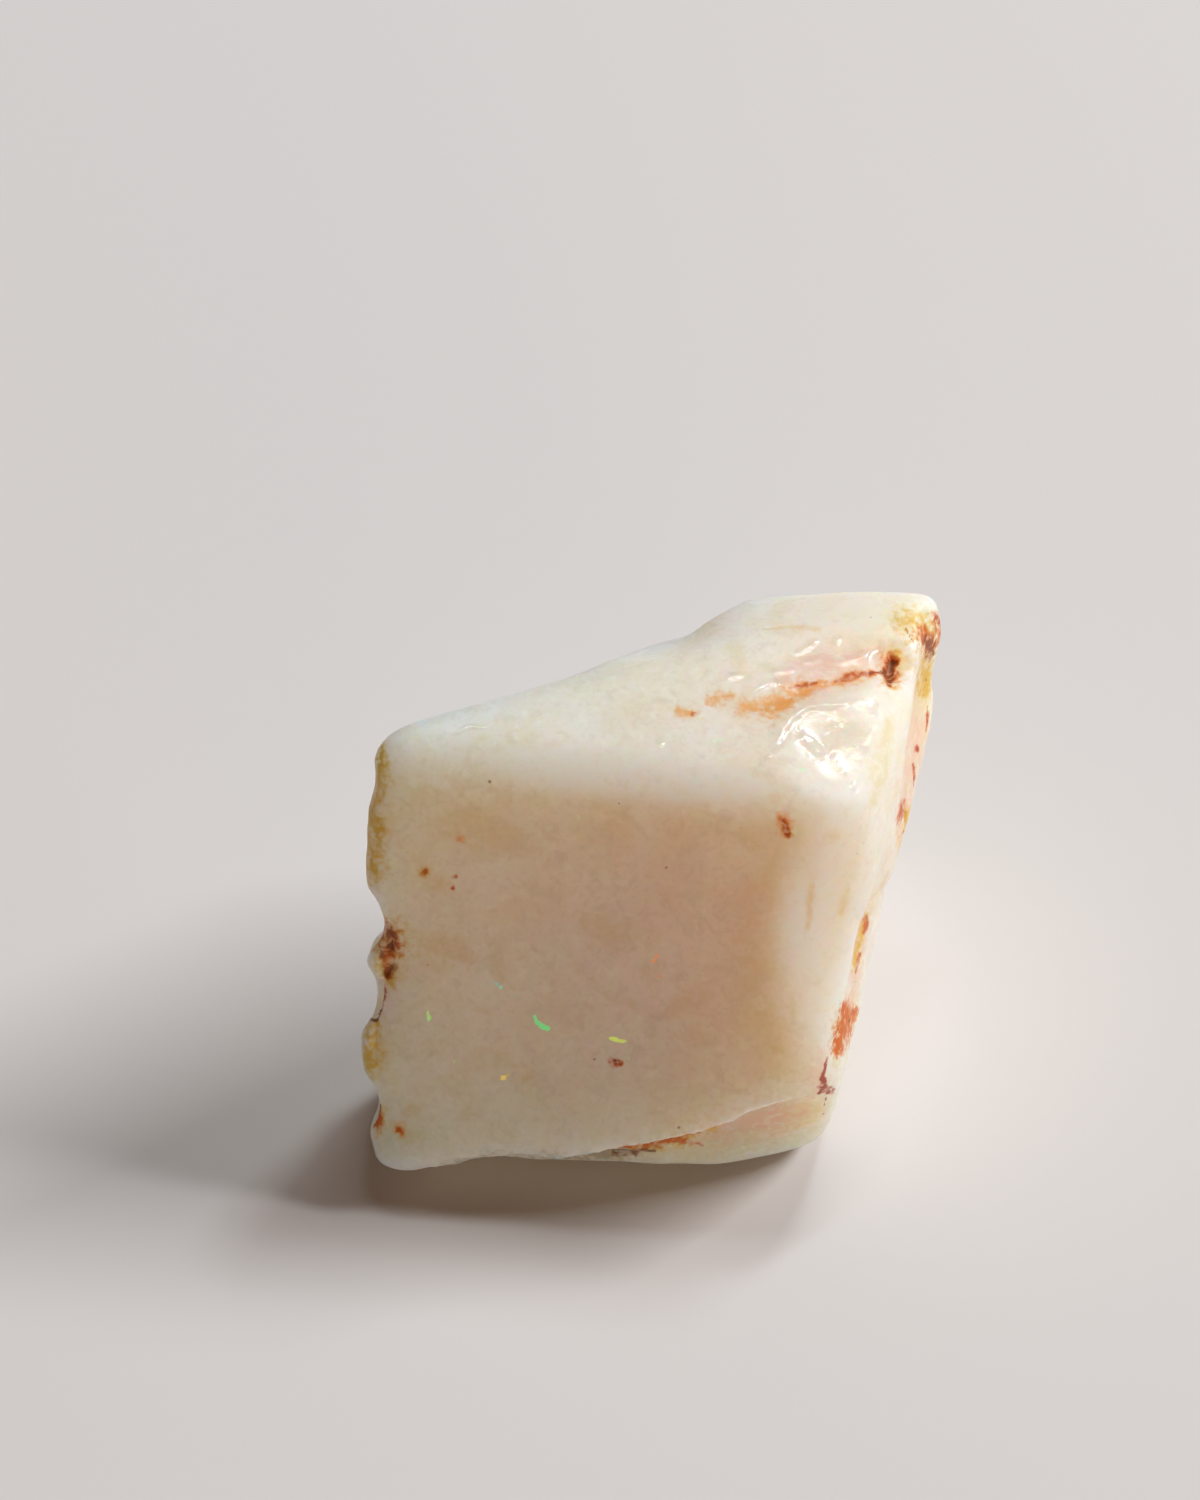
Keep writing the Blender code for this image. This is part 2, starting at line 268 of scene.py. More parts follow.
        "right face, low": ([(12.9, 4.4, 8.5), (11.9, 1.5, 6.5), (11.0, -1.5, 4.5)], 0.22),
    },
    "rust": {
        "band": ([(12.0, 5.8, 21.5), (10.9, 5.3, 21.9), (9.5, 4.8, 22.0)], 0.22),
        "band, end": ([(8.6, 4.6, 22.1), (7.9, 4.4, 22.1), (7.2, 4.2, 22.2)], 0.13),
        "left of the patch, far": ([(2.3, 2.3, 22.4)], 0.24),
        "mouth": ([(12.5, 6.8, 21.5), (12.3, 6.1, 21.2), (12.4, 5.0, 21.8)], 0.5),
        "far corner": ([(13.9, 8.8, 21.0), (14.2, 9.0, 20.0), (14.4, 9.5, 19.1)], 0.65),
        "far corner, edge": ([(14.6, 10.0, 21.1), (14.8, 10.4, 19.6), (14.7, 9.9, 18.2)], 0.35),
        "right strip": ([(14.5, 7.9, 15.4), (14.4, 7.2, 14.8)], 0.16),
        "right strip, dots": ([(13.9, 6.0, 14.8)], 0.17),
        "right strip, low dots": ([(13.7, 5.0, 14.9), (13.8, 4.6, 14.3)], 0.14),
        "right strip, spot": ([(12.9, 1.7, 14.6), (13.2, 2.6, 14.6)], 0.5),
        "ledge": ([(11.3, -3.1, 12.1), (11.2, -3.5, 11.6)], 0.28),
        "ledge, edge": ([(10.9, -4.8, 11.4), (10.7, -5.4, 10.8)], 0.16),
        "low ledge, top": ([(10.0, -7.2, 10.0), (10.8, -6.2, 8.4)], 0.6),
        "low ledge": ([(10.3, -7.2, 9.6), (10.1, -8.2, 9.0), (9.8, -9.0, 8.9)], 0.75),
        "on the front": ([(6.7, -3.5, 21.1), (7.0, -4.0, 20.7)], 0.18),
        "scar, spot": ([(-11.4, -3.7, 17.1)], 0.18),
        "front, low": ([(-1.9, -9.5, 8.5), (-1.5, -9.5, 8.4)], 0.22),
        "scar, dots": ([(-9.9, -4.0, 16.9)], 0.12),
        "scar, low dots": ([(-10.0, -4.3, 16.4)], 0.1),
        "pit": ([(-13.7, -4.7, 14.3), (-13.3, -5.6, 13.2), (-13.5, -6.5, 11.9)], 0.6),
        "foot": ([(-14.1, -10.2, 5.1), (-14.0, -10.7, 4.3)], 0.35),
        "foot, spot": ([(-12.8, -10.8, 4.4)], 0.2),
        "under the front edge": ([(-1.6, -12.2, 4.1), (0.6, -12.0, 4.4), (2.8, -11.7, 5.1)], 0.36),
        "under the front edge, streak": ([(0.6, -12.1, 4.4), (2.1, -11.8, 4.2), (2.9, -11.6, 3.7)], 0.14),
        "left face, crack": ([(-14.0, -3.4, 13.4), (-13.9, -1.8, 11.6), (-12.4, -0.3, 10.4)], 0.26),
        "left face, low": ([(-14.3, -6.3, 6.6), (-14.5, -5.0, 4.4)], 0.2),
        "back face": ([(-6.5, 3.9, 16.2), (-4.6, 3.9, 13.8), (-1.5, 6.2, 12.2), (1.0, 8.0, 11.6)], 0.22),
        "back face, knot": ([(-4.9, 4.0, 14.2), (-4.4, 3.8, 12.8)], 0.6),
        "back face, low": ([(2.2, 8.6, 10.4), (4.2, 9.6, 8.4)], 0.4),
        "back face, branch": ([(-4.6, 3.9, 13.2), (-4.3, 3.7, 9.8)], 0.16),
        "back corner": ([(12.0, 10.9, 9.6), (11.3, 10.8, 6.4)], 0.3),
        "right face": ([(13.3, 3.2, 12.2), (13.0, 4.2, 9.0), (12.6, 5.4, 7.2)], 0.2),
        "right face, knot": ([(12.9, 4.3, 8.7)], 0.5),
        "right face, low": ([(12.4, 3.0, 7.4), (11.6, 0.6, 5.8)], 0.16),
    },
    "red": {
        "crack": ([(12.0, 5.9, 21.5), (11.3, 5.5, 21.8), (10.6, 5.2, 22.0)], 0.1),
        "right strip, dots": ([(13.9, 6.0, 14.8)], 0.1),
        "right strip, line": ([(13.7, 5.2, 14.7), (13.8, 5.2, 14.3), (13.7, 4.4, 13.7)], 0.07),
        "right strip, upper line": ([(14.5, 8.1, 15.6), (14.4, 7.2, 14.7)], 0.06),
        "right strip, spot": ([(13.1, 2.2, 14.6)], 0.2),
        "far corner, edge": ([(14.6, 10.0, 21.1), (14.8, 10.4, 19.6)], 0.16),
        "low corner": ([(9.1, -9.9, 9.4), (8.9, -10.5, 8.6), (9.1, -10.4, 7.4)], 0.14),
        "low corner, blot": ([(8.9, -10.3, 7.3), (9.5, -10.1, 6.8)], 0.3),
        "low corner, branch": ([(9.0, -10.4, 7.9), (8.6, -10.6, 7.3)], 0.09),
        "foot of the pit": ([(-13.7, -6.8, 11.2), (-14.0, -7.3, 10.1)], 0.3),
    },
    "umber": {
        "mouth": ([(12.5, 6.6, 21.4), (12.4, 6.0, 21.3), (12.4, 5.2, 21.6)], 0.34),
        "mouth, left side": ([(12.4, 6.0, 21.3), (11.8, 5.8, 21.5)], 0.26),
        "mouth, left point": ([(12.2, 5.9, 21.4), (11.7, 5.7, 21.6), (11.2, 5.5, 21.8)], 0.08),
        "far corner": ([(14.2, 9.1, 20.2), (14.3, 9.3, 19.4), (14.3, 9.2, 18.4)], 0.45),
        "far corner, line": ([(12.8, 8.9, 22.0), (13.3, 8.1, 21.9), (13.8, 7.3, 21.6)], 0.045),
        "right strip, dots": ([(14.3, 8.9, 17.1)], 0.1),
        "low ledge, dot": ([(10.4, -6.8, 8.6)], 0.14),
        "low corner": ([(9.2, -10.3, 7.0)], 0.13),
        "low corner, tail": ([(9.1, -10.3, 6.5), (9.1, -10.3, 5.9)], 0.07),
        "low corner, dot": ([(9.0, -10.2, 5.0)], 0.07),
        "front, low": ([(-1.7, -9.5, 8.5)], 0.13),
        "front, low, dot": ([(-2.8, -9.3, 8.6)], 0.06),
        "front, left": ([(-11.3, -6.2, 12.4)], 0.09),
        "front, top left": ([(-8.1, -1.4, 21.6)], 0.08),
        "front, top": ([(-1.5, -2.5, 21.2)], 0.07),
        "front, right": ([(0.9, -4.4, 18.3)], 0.08),
        "front, right, low": ([(1.5, -11.7, 5.8)], 0.07),
        "flank, top": ([(11.0, -3.1, 18.7)], 0.08),
        "flank": ([(10.6, -3.5, 18.3)], 0.06),
        "top, right": ([(11.4, 8.9, 22.0)], 0.07),
        "pit, upper": ([(-13.5, -5.0, 14.0), (-13.3, -5.5, 13.5), (-13.2, -5.8, 13.0)], 0.36),
        "pit, left": ([(-13.8, -5.7, 13.1), (-13.7, -5.9, 12.7)], 0.24),
        "pit, lower": ([(-13.1, -6.2, 12.3), (-13.5, -6.4, 11.8)], 0.34),
        "foot of the pit": ([(-14.0, -7.2, 10.2), (-14.2, -7.6, 9.6)], 0.22),
        "foot": ([(-14.1, -10.0, 5.4), (-14.1, -10.3, 5.0)], 0.16),
        "front edge": ([(-1.4, -12.1, 4.4), (0.1, -12.1, 4.8), (1.7, -11.9, 5.2)], 0.17),
        "front edge, blot": ([(-1.9, -12.3, 3.9), (-0.8, -12.3, 3.9), (0.3, -12.2, 3.8)], 0.22),
        "left face, crack": ([(-13.9, -2.4, 12.2), (-13.2, -1.0, 11.0), (-11.6, 0.1, 10.1)], 0.08),
        "back face": ([(-5.9, 3.9, 15.4), (-4.6, 3.9, 13.8), (-2.8, 5.2, 12.8)], 0.1),
        "back face, knot": ([(-4.6, 3.9, 13.6)], 0.28),
        "back face, low": ([(2.8, 9.0, 9.8), (3.8, 9.5, 8.8)], 0.12),
        "back face, dot": ([(-8.2, 2.2, 8.0)], 0.12),
        "right face": ([(13.1, 4.0, 9.6), (12.8, 4.6, 8.2)], 0.14),
        "right face, dot": ([(13.2, 6.4, 12.4)], 0.1),
    },
}
CLOSE_MARK = 0.45       # a mark narrower than this has finer skin round it
FINE_GRAIN_REACH = 0.4  # and this is how far round it
WHOLE_FACE = 0.5        # a face smaller than this share of a GRAIN square is fine enough
WANDER = [(1.1, 0.14), (0.35, 0.06)]   # how wide and how far a mark's outline wanders
WANDER_SEED = 5         # unseeded, noise_vector goes by the clock
THIN_ENDS = 0.6         # the share of its width that a mark loses at its ends
THICK_AND_THIN = 0.7    # and how much wider and narrower it gets on the way
THICK_EVERY = 0.7       # over about this length


def finer_skin(mesh, lines):
    """Parts the skin's faces in four near these lines."""
    bm = bmesh.new()
    bm.from_mesh(mesh)
    middles = pressed(np.array([face.calc_center_median() for face in bm.faces]) / MM)
    near = np.zeros(len(middles), bool)
    for line in lines:
        near |= gap_to(line, middles) < FINE_GRAIN_REACH
    near &= np.array([face.calc_area() for face in bm.faces]) > WHOLE_FACE * (GRAIN * MM) ** 2
    bm.faces.ensure_lookup_table()
    edges = {edge for k in np.flatnonzero(near) for edge in bm.faces[k].edges}
    in_order = sorted(edges, key=lambda edge: edge.index)
    bmesh.ops.subdivide_edges(bm, edges=in_order, cuts=1, use_grid_fill=True)
    bm.to_mesh(mesh)
    bm.free()


def spread(marks, places):
    """How deep each place lies in the nearest mark: 1 at its middle, 0 at its edge."""
    depth = np.full(len(places), -1.0)
    for line, width in marks:
        reach = 2.0 * width * (1.0 + THICK_AND_THIN)
        low, high = pressed(line).min(axis=0) - reach, pressed(line).max(axis=0) + reach
        near = np.flatnonzero(((places > low) & (places < high)).all(axis=1))
        pieces = list(zip(line, line[1:])) or [(line[0], line[0])]
        for k, piece in enumerate(pieces):
            way = 2.0 * (k + 0.5) / len(pieces) - 1.0
            rough = noise.noise(Vector(piece[0]) / THICK_EVERY)
            here = width * (1.0 - THIN_ENDS * way**2) * (1.0 + THICK_AND_THIN * rough)
            depth[near] = np.maximum(depth[near], 1.0 - gap_to(np.array(piece), places[near]) / here)
    return depth


def strayed(places):
    """The places moved a little every way, so that what is laid by them has no ruled edge."""
    noise.seed_set(WANDER_SEED)
    moved = places.copy()
    for size, reach in WANDER:
        moved += reach * np.array([noise.noise_vector(p) for p in (places / size).tolist()])
    return moved


def write_on_skin(name, values):
    """Keeps one number for each point of the skin, for the finish to read."""
    layer = opal.data.attributes.new(name, "FLOAT", "POINT")
    layer.data.foreach_set("value", values.astype(np.float32))


laid_stains = {
    kind: [(on_skin(line), width) for line, width in marks.values()]
    for kind, marks in STAINS.items()
}
finer_skin(
    opal.data,
    [line for marks in laid_stains.values() for line, width in marks if width < CLOSE_MARK],
)
places = places_of(opal.data)
facings = facings_of(opal.data)
wandered = strayed(places)
for kind, marks in laid_stains.items():
    write_on_skin(kind, spread(marks, pressed(wandered)))


# ----------------------------------------------------------------------------------------
# The opal, fire. Thin flakes of precious opal inside it throw back one pure colour each;
# that thrown-back light is painted, as colour and a faint painted glow.
# Each is a line, its width and its hue, from 0, red, by yellow and green to 1, blue.
# ----------------------------------------------------------------------------------------
FIRE = [
    ([(-5.9, -7.9, 10.3), (-5.7, -8.1, 10.0), (-5.3, -8.3, 9.8)], 0.22, 0.70),
    ([(-8.0, -6.8, 11.8), (-7.6, -7.0, 11.6)], 0.11, 0.85),
    ([(-11.3, -7.5, 10.3), (-11.2, -8.0, 9.4)], 0.13, 0.6),
    ([(-10.4, -7.2, 10.8)], 0.09, 0.75),
    ([(-10.0, -9.0, 7.9)], 0.13, 0.55),
    ([(-7.6, -9.6, 7.3), (-7.3, -9.6, 7.4)], 0.14, 0.3),
    ([(-7.1, -9.4, 7.7)], 0.1, 0.35),
    ([(-7.5, -7.9, 10.0)], 0.1, 0.8),
    ([(-6.9, -7.2, 11.2)], 0.08, 0.85),
    ([(-1.9, -8.8, 9.6), (-1.3, -8.9, 9.6)], 0.14, 0.5),
    ([(-0.9, -8.7, 9.9)], 0.08, 0.6),
    ([(0.1, -6.8, 13.5), (0.5, -6.7, 13.8)], 0.13, 0.1),
    ([(0.6, -7.2, 12.9)], 0.12, 0.05),
    ([(0.2, -6.2, 14.6)], 0.11, 0.08),
    ([(-8.7, -7.1, 11.3)], 0.11, 0.75),
    ([(-1.0, -9.4, 8.6)], 0.1, 0.45),
    ([(3.3, 0.6, 22.4), (3.9, 0.7, 22.4)], 0.13, 0.66),
    ([(7.8, -1.1, 22.1)], 0.15, 0.68),
    ([(-1.1, -0.5, 22.4)], 0.12, 0.72),
    ([(-3.0, 10.0, 8.0), (-2.5, 10.0, 7.6)], 0.2, 0.7),
    ([(3.0, 11.0, 14.0)], 0.2, 0.15),
    ([(-13.5, 3.0, 6.0)], 0.2, 0.6),
    ([(12.0, 6.0, 8.0)], 0.2, 0.5),
]
laid_fire = [(on_skin(line), width, hue) for line, width, hue in FIRE]
write_on_skin("fire", spread([(line, width) for line, width, hue in laid_fire], pressed(wandered)))
nearest = np.argmin([gap_to(line, pressed(places)) for line, width, hue in laid_fire], axis=0)
write_on_skin("fire_hue", np.array([hue for line, width, hue in laid_fire])[nearest])


# ----------------------------------------------------------------------------------------
# The opal, breaks. What the blow and the river left on the skin: low swells, the crack
# with its raised lips, sharp little steps where flakes came off, ripples and pits.
# ----------------------------------------------------------------------------------------
SWELLS = [(6.0, 0.06), (2.2, 0.024), (0.8, 0.007)]   # how wide, how high
FOOT = 0.9                                          # the foot stays flat up to here

HEAPS = {   # place, reach, height: where the lump is a little fuller, or leaner
    "near left corner": ((-12.7, 1.1, 22.1), 1.8, 0.30),
    "far right corner": ((14.8, 10.2, 18.8), 2.0, 0.40),
    "left knuckle": ((-14.4, -10.0, 4.0), 1.2, -0.30),
    "left bump": ((-14.7, -8.5, 6.1), 1.0, -0.20),
    "beside the pit": ((-14.5, -4.5, 11.0), 1.2, -0.20),
    "left foot": ((-12.6, -11.6, 2.2), 1.6, 0.28),
    "front foot": ((3.7, -11.0, 1.9), 1.8, 0.22),
    "back saddle": ((2.0, 9.6, 20.4), 1.6, -0.36),
    "back knob": ((5.1, 11.2, 20.2), 1.5, 0.22),
    "right foot": ((8.2, -9.5, 1.2), 1.4, -0.22),
    "bed of the hollow": ((9.8, 1.0, 21.9), 2.0, 0.12),
}
STEPS = {   # edge of a flake's bed, which lies on its right; drop, sharpness, reach
    "hollow rim": (
        [
            (6.4, -0.1, 22.4), (6.5, 1.3, 22.3), (7.2, 2.2, 22.3),
            (8.0, 2.8, 22.3), (9.1, 3.0, 22.2), (10.3, 3.1, 22.2),
        ],
        0.05, 0.17, 2.2,
    ),
    "hollow far rim": ([(10.7, 3.2, 22.2), (11.4, 3.0, 22.1), (12.1, 3.2, 21.9)], 0.03, 0.12, 0.7),
    "front edge": (
        [
            (-12.6, -11.7, 2.4), (-10.0, -11.8, 2.6), (-8.7, -11.5, 2.7), (-6.6, -11.6, 3.0),
            (-4.8, -12.2, 3.7), (-2.9, -12.2, 4.1), (-1.5, -12.1, 4.5), (0.3, -12.0, 4.9),
            (2.9, -11.7, 5.5), (4.5, -11.5, 6.1), (5.2, -11.3, 6.6), (6.6, -11.1, 7.0),
            (7.8, -10.9, 7.4), (8.7, -10.7, 7.8),
        ],
        0.5, 0.07, 2.4,
    ),
    "low facet, upper line": (
        [(2.6, -11.8, 5.0), (4.7, -11.2, 4.4), (6.9, -10.7, 4.5), (8.9, -10.1, 4.4)], 0.11, 0.06, 0.8,
    ),
    "low facet, lower line": (
        [(2.1, -11.9, 4.2), (4.7, -11.0, 3.3), (7.3, -10.4, 3.2), (9.0, -9.9, 3.6)], 0.11, 0.06, 0.8,
    ),
    "flake, long": (
        [(-10.8, -11.8, 3.2), (-9.2, -11.6, 2.9), (-7.7, -11.8, 3.8), (-4.8, -12.2, 3.9)], 0.14, 0.05, 0.5,
    ),
    "flake, short": ([(-8.8, -11.5, 2.7), (-7.4, -11.9, 3.5), (-5.6, -12.0, 3.8)], 0.12, 0.05, 0.4),
    "flake, upper": ([(-10.0, -11.7, 3.6), (-7.7, -11.7, 4.1), (-6.4, -11.7, 4.3)], 0.1, 0.05, 0.5),
    "back edge": (
        [
            (8.7, 8.2, 22.1), (7.2, 8.3, 22.0), (5.6, 8.2, 22.0), (4.5, 7.8, 22.0),
            (1.8, 6.6, 22.1), (-1.4, 5.1, 22.4), (-4.6, 4.0, 22.5),
        ],
        0.07, 0.1, 1.2,
    ),
    "back edge, far": (
        [(9.7, 10.7, 21.5), (8.3, 10.5, 21.4), (6.2, 9.8, 21.4), (4.5, 8.9, 21.7)], 0.08, 0.1, 1.0,
    ),
    "flank": ([(8.4, -4.6, 18.8), (8.3, -5.1, 17.7), (8.2, -5.7, 16.1), (7.9, -6.5, 14.6)], 0.1, 0.12, 1.0),
    "flank, middle": (
        [(10.3, -4.0, 17.8), (10.1, -4.5, 16.4), (9.8, -5.3, 15.0), (9.3, -6.2, 13.9)], 0.1, 0.1, 0.9,
    ),
    "flank, right": ([(10.8, -3.1, 19.4), (10.6, -3.7, 18.0), (10.4, -4.1, 16.6)], 0.08, 0.1, 0.8),
    "ledge lip": (
        [
            (8.9, -10.5, 8.4), (9.4, -9.4, 9.4), (9.8, -8.0, 10.5), (10.3, -6.4, 12.0),
            (10.7, -4.9, 13.9), (11.1, -4.0, 14.2), (11.9, -1.8, 12.9), (12.6, 0.2, 13.0),
        ],
        0.24, 0.08, 1.6,
    ),
    "strip lip": (
        [(12.8, 0.5, 12.7), (12.6, 0.0, 15.7), (12.5, 0.3, 18.6), (12.6, 1.8, 20.9)], 0.12, 0.08, 1.4,
    ),
    "strip lip, upper": (
        [(12.6, 1.8, 20.9), (12.8, 4.5, 21.7), (13.1, 7.5, 21.9), (12.8, 8.9, 22.0)], 0.05, 0.1, 1.2,
    ),
    "scar on the back": (
        [
            (6.0, 10.6, 9.0), (5.5, 10.9, 13.0), (4.2, 10.7, 16.5), (1.5, 9.2, 18.6),
            (-1.5, 7.2, 18.2), (-3.8, 5.9, 15.5), (-4.4, 4.6, 12.5),
        ],
        0.42, 0.1, 3.2,
    ),
    "scar low on the back": (
        [(-6.0, 2.9, 5.0), (-6.8, 2.4, 9.0), (-9.0, 1.5, 12.0), (-11.8, 0.2, 12.5)], 0.34, 0.1, 2.4,
    ),
    "scar by the back corner": (
        [(10.0, 10.4, 4.0), (9.4, 11.2, 9.0), (10.4, 11.6, 13.0), (12.4, 11.2, 14.6)], 0.34, 0.09, 2.0,
    ),
    "scar on the right face": (
        [(11.0, -4.0, 5.0), (11.4, -1.8, 8.6), (12.6, 1.6, 9.8), (13.3, 5.2, 8.6), (12.6, 7.6, 6.0)],
        0.36, 0.1, 2.6,
    ),
    "scar on the left face": (
        [(-14.4, -7.4, 5.6), (-14.1, -5.6, 8.6), (-13.9, -3.4, 9.8), (-12.8, -1.0, 8.8)], 0.32, 0.1, 2.0,
    ),
}
RIPPLES = {   # where the blow fell, the way the face looks, spacing, height, reach
    "bed of the hollow": ((7.2, 3.6, 22.2), (0.0, 0.0, 1.0), 1.5, 0.013, 5.0),
    "back face": ((3.0, 9.8, 20.5), (-0.5, 0.86, 0.0), 1.9, 0.03, 10.0),
    "right face": ((12.9, 3.0, 13.5), (0.98, -0.17, 0.0), 1.5, 0.025, 8.0),
    "left face": ((-13.6, -1.5, 21.0), (-1.0, 0.0, 0.0), 1.6, 0.02, 9.0),
}
RIPPLE_BEND = 0.9        # how far a ripple strays from its circle
SAME_FACE = (0.7, 0.9)   # how nearly the skin has to face the same way to be rippled
STEP_ENDS = 0.15         # a step fades in and out over this share of its length
GROOVES = {   # line, width, depth
    "crack": ([(12.4, 6.0, 21.3), (11.5, 5.6, 21.8), (9.5, 4.7, 22.0), (7.6, 4.3, 22.1)], 0.14, 0.045),
    "mouth": ([(12.5, 6.9, 21.5), (12.4, 6.2, 21.2), (12.4, 4.8, 21.9)], 0.34, 0.3),
    "pit": ([(-13.6, -5.0, 14.0), (-13.4, -5.7, 13.1), (-13.5, -6.4, 11.9)], 0.5, 0.2),
    "pit, hole": ([(-13.3, -5.5, 13.5), (-13.2, -5.8, 13.0)], 0.2, 0.16),
    "pit, low hole": ([(-13.1, -6.2, 12.3), (-13.5, -6.4, 11.8)], 0.2, 0.14),
    "crack in the left face": (
        [(-14.0, -3.4, 13.4), (-13.9, -1.8, 11.6), (-12.4, -0.3, 10.4), (-10.2, 0.7, 9.6)], 0.15, 0.12,
    ),
    "crack in the back face": (
        [
            (-9.0, 3.0, 18.5), (-6.5, 3.9, 16.2), (-4.6, 3.9, 13.8), (-1.5, 6.2, 12.2),
            (1.0, 8.0, 11.6), (3.6, 9.5, 9.0), (5.2, 9.9, 7.0),
        ],
        0.15, 0.12,
    ),
    "its branch": ([(-4.6, 3.9, 13.8), (-4.4, 3.6, 10.8), (-3.2, 4.4, 8.0)], 0.14, 0.1),
    "knot in the back face": ([(-4.9, 4.0, 14.2), (-4.4, 3.8, 12.8)], 0.4, 0.2),
    "crack in the right face": (
        [(13.4, 2.4, 14.0), (13.3, 3.4, 11.5), (12.9, 4.4, 8.5), (12.4, 6.0, 6.5)], 0.15, 0.12,
    ),
    "knot in the right face": ([(12.9, 4.3, 8.7)], 0.35, 0.18),
}
BEADS = {   # line, width, height: threads and beads of clear opal that catch the light
    "over the crack": (
        [
            (7.9, 6.0, 22.1), (8.9, 6.1, 22.1), (9.6, 5.9, 22.1), (10.5, 6.1, 22.1),
            (11.3, 6.5, 22.0), (11.9, 6.9, 21.9), (12.0, 7.5, 22.0),
        ],
        0.19, 0.044,
    ),
    "rim of the hollow": (
        [
            (6.55, 0.6, 22.3), (6.7, 1.3, 22.3), (7.2, 2.1, 22.3), (8.0, 2.75, 22.3),
            (9.1, 3.0, 22.2), (9.9, 3.05, 22.2),
        ],
        0.17, 0.055,
    ),
    "over the crack, dot": ([(9.7, 7.5, 22.0)], 0.18, 0.045),
    "over the crack, left": ([(8.5, 7.3, 22.1), (7.7, 6.6, 22.1)], 0.17, 0.042),
    "left of the crack": ([(6.5, 5.2, 22.2), (7.3, 5.35, 22.2)], 0.18, 0.042),
    "left of the crack, low": ([(5.5, 4.1, 22.3), (6.1, 4.45, 22.2), (6.8, 4.5, 22.2)], 0.16, 0.038),
    "left of the crack, far": ([(4.1, 4.75, 22.3), (4.6, 4.85, 22.3)], 0.16, 0.038),
    "below the crack": ([(8.9, 4.0, 22.1), (8.2, 3.7, 22.2), (7.6, 3.2, 22.2)], 0.15, 0.036),
    "hollow, left": ([(7.9, 1.0, 22.2), (8.2, 0.6, 22.1), (8.5, 0.3, 21.9)], 0.26, 0.045),
    "hollow, middle": ([(9.4, 0.0, 21.7), (9.6, -0.5, 21.7), (9.9, -0.9, 21.7)], 0.26, 0.045),
    "hollow, right": ([(11.6, 1.7, 21.9), (11.4, 1.2, 21.8), (11.2, 0.7, 21.8)], 0.24, 0.04),
    "hollow, edge": ([(10.3, -1.7, 21.6)], 0.15, 0.04),
    "hollow, outside": ([(6.0, -0.5, 22.4)], 0.14, 0.03),
    "top": ([(3.4, -1.5, 22.2)], 0.13, 0.03),
    "right strip": ([(13.1, 2.3, 14.6)], 0.14, 0.04),
    "ledge": ([(11.4, -2.8, 12.1)], 0.12, 0.04),
    "ledge, low": ([(10.9, -5.0, 9.3), (10.5, -5.9, 10.4)], 0.12, 0.04),
    "low corner": ([(9.7, -9.5, 8.5)], 0.14, 0.05),
    "near left corner": ([(-9.9, 1.2, 22.3), (-9.2, 1.6, 22.3), (-8.4, 1.5, 22.3)], 0.11, 0.03),
    "near left corner, dot": ([(-10.6, 0.9, 22.3)], 0.12, 0.03),
    "top, middle": ([(0.6, 0.4, 22.4)], 0.1, 0.025),
    "top, right": ([(5.1, 0.9, 22.4)], 0.1, 0.025),
}
SHARP = 0.085     # a step sharper than this has finer skin round it
WET = 2.2         # the shine spreads this many bead widths round a bead
RIM_SHINE = 0.8   # and this far round the hollow's rim
BED = ([(8.0, 1.8, 22.0), (10.0, 0.2, 21.8)], 1.9)   # the hollow's bed is as bright
DULL = ([(12.6, 4.4, 21.6), (12.2, 1.0, 21.0), (11.3, -2.6, 20.2)], 1.3)   # its right wall is not


def unevenness(places, size):
    """Smooth random heights from about -1 to 1, in lumps about size across."""
    return np.array([noise.noise(p) for p in (places / size).tolist()])


def smoothstep(low, high, values):
    """0 below low, 1 above high, and a soft rise between."""
    t = np.clip((values - low) / (high - low), 0.0, 1.0)
    return t * t * (3.0 - 2.0 * t)


def beside(line, places, facings):
    """How far each place lies to the right of a line, from it, and along it from 0 to 1."""
    away = np.full(len(places), np.inf)
    right = np.zeros(len(places))
    along = np.zeros(len(places))
    for k, (start, end) in enumerate(zip(line, line[1:])):
        length = np.linalg.norm(end - start)
        step = (end - start) / length
        offset = places - start
        t = np.clip(offset @ step, 0.0, length)
        offset -= t[:, None] * step
        gap = np.linalg.norm(offset, axis=1)
        closer = gap < away
        away[closer] = gap[closer]
        side = np.einsum("ij,ij->i", np.cross(step, facings), offset)
        right[closer] = side[closer]
        along[closer] = ((k + t / length) / (len(line) - 1))[closer]
    return right, away, along


sharp = [line for line, size, *_ in BEADS.values()]
sharp += [line for line, drop, sharpness, reach in STEPS.values() if sharpness < SHARP]
sharp += [line for line, width, depth in GROOVES.values() if width < 2.0 * SHARP]
finer_skin(opal.data, [on_skin(line) for line in sharp])
places = places_of(opal.data)
facings = facings_of(opal.data)
wandered = strayed(places)
close = pressed(wandered)
lift = np.zeros(len(places))
for size, height in SWELLS:
    lift += height * unevenness(places, size)
for place, reach, height in HEAPS.values():
    lift += height * np.exp(-((np.linalg.norm(places - place, axis=1) / reach) ** 2))
for line, drop, sharpness, reach in STEPS.values():
    right, away, along = beside(on_skin(line), wandered, facings)
    ends = smoothstep(0.0, STEP_ENDS, along) * smoothstep(0.0, STEP_ENDS, 1.0 - along)
    lift -= drop * ends * smoothstep(-sharpness, sharpness, right) * np.exp(-((away / reach) ** 2))
for line, width, depth in GROOVES.values():
    lift -= depth * np.exp(-((gap_to(on_skin(line), close) / width) ** 2))
for line, width, height in BEADS.values():
    lift += height * np.exp(-((gap_to(on_skin(line), close) / width) ** 2))
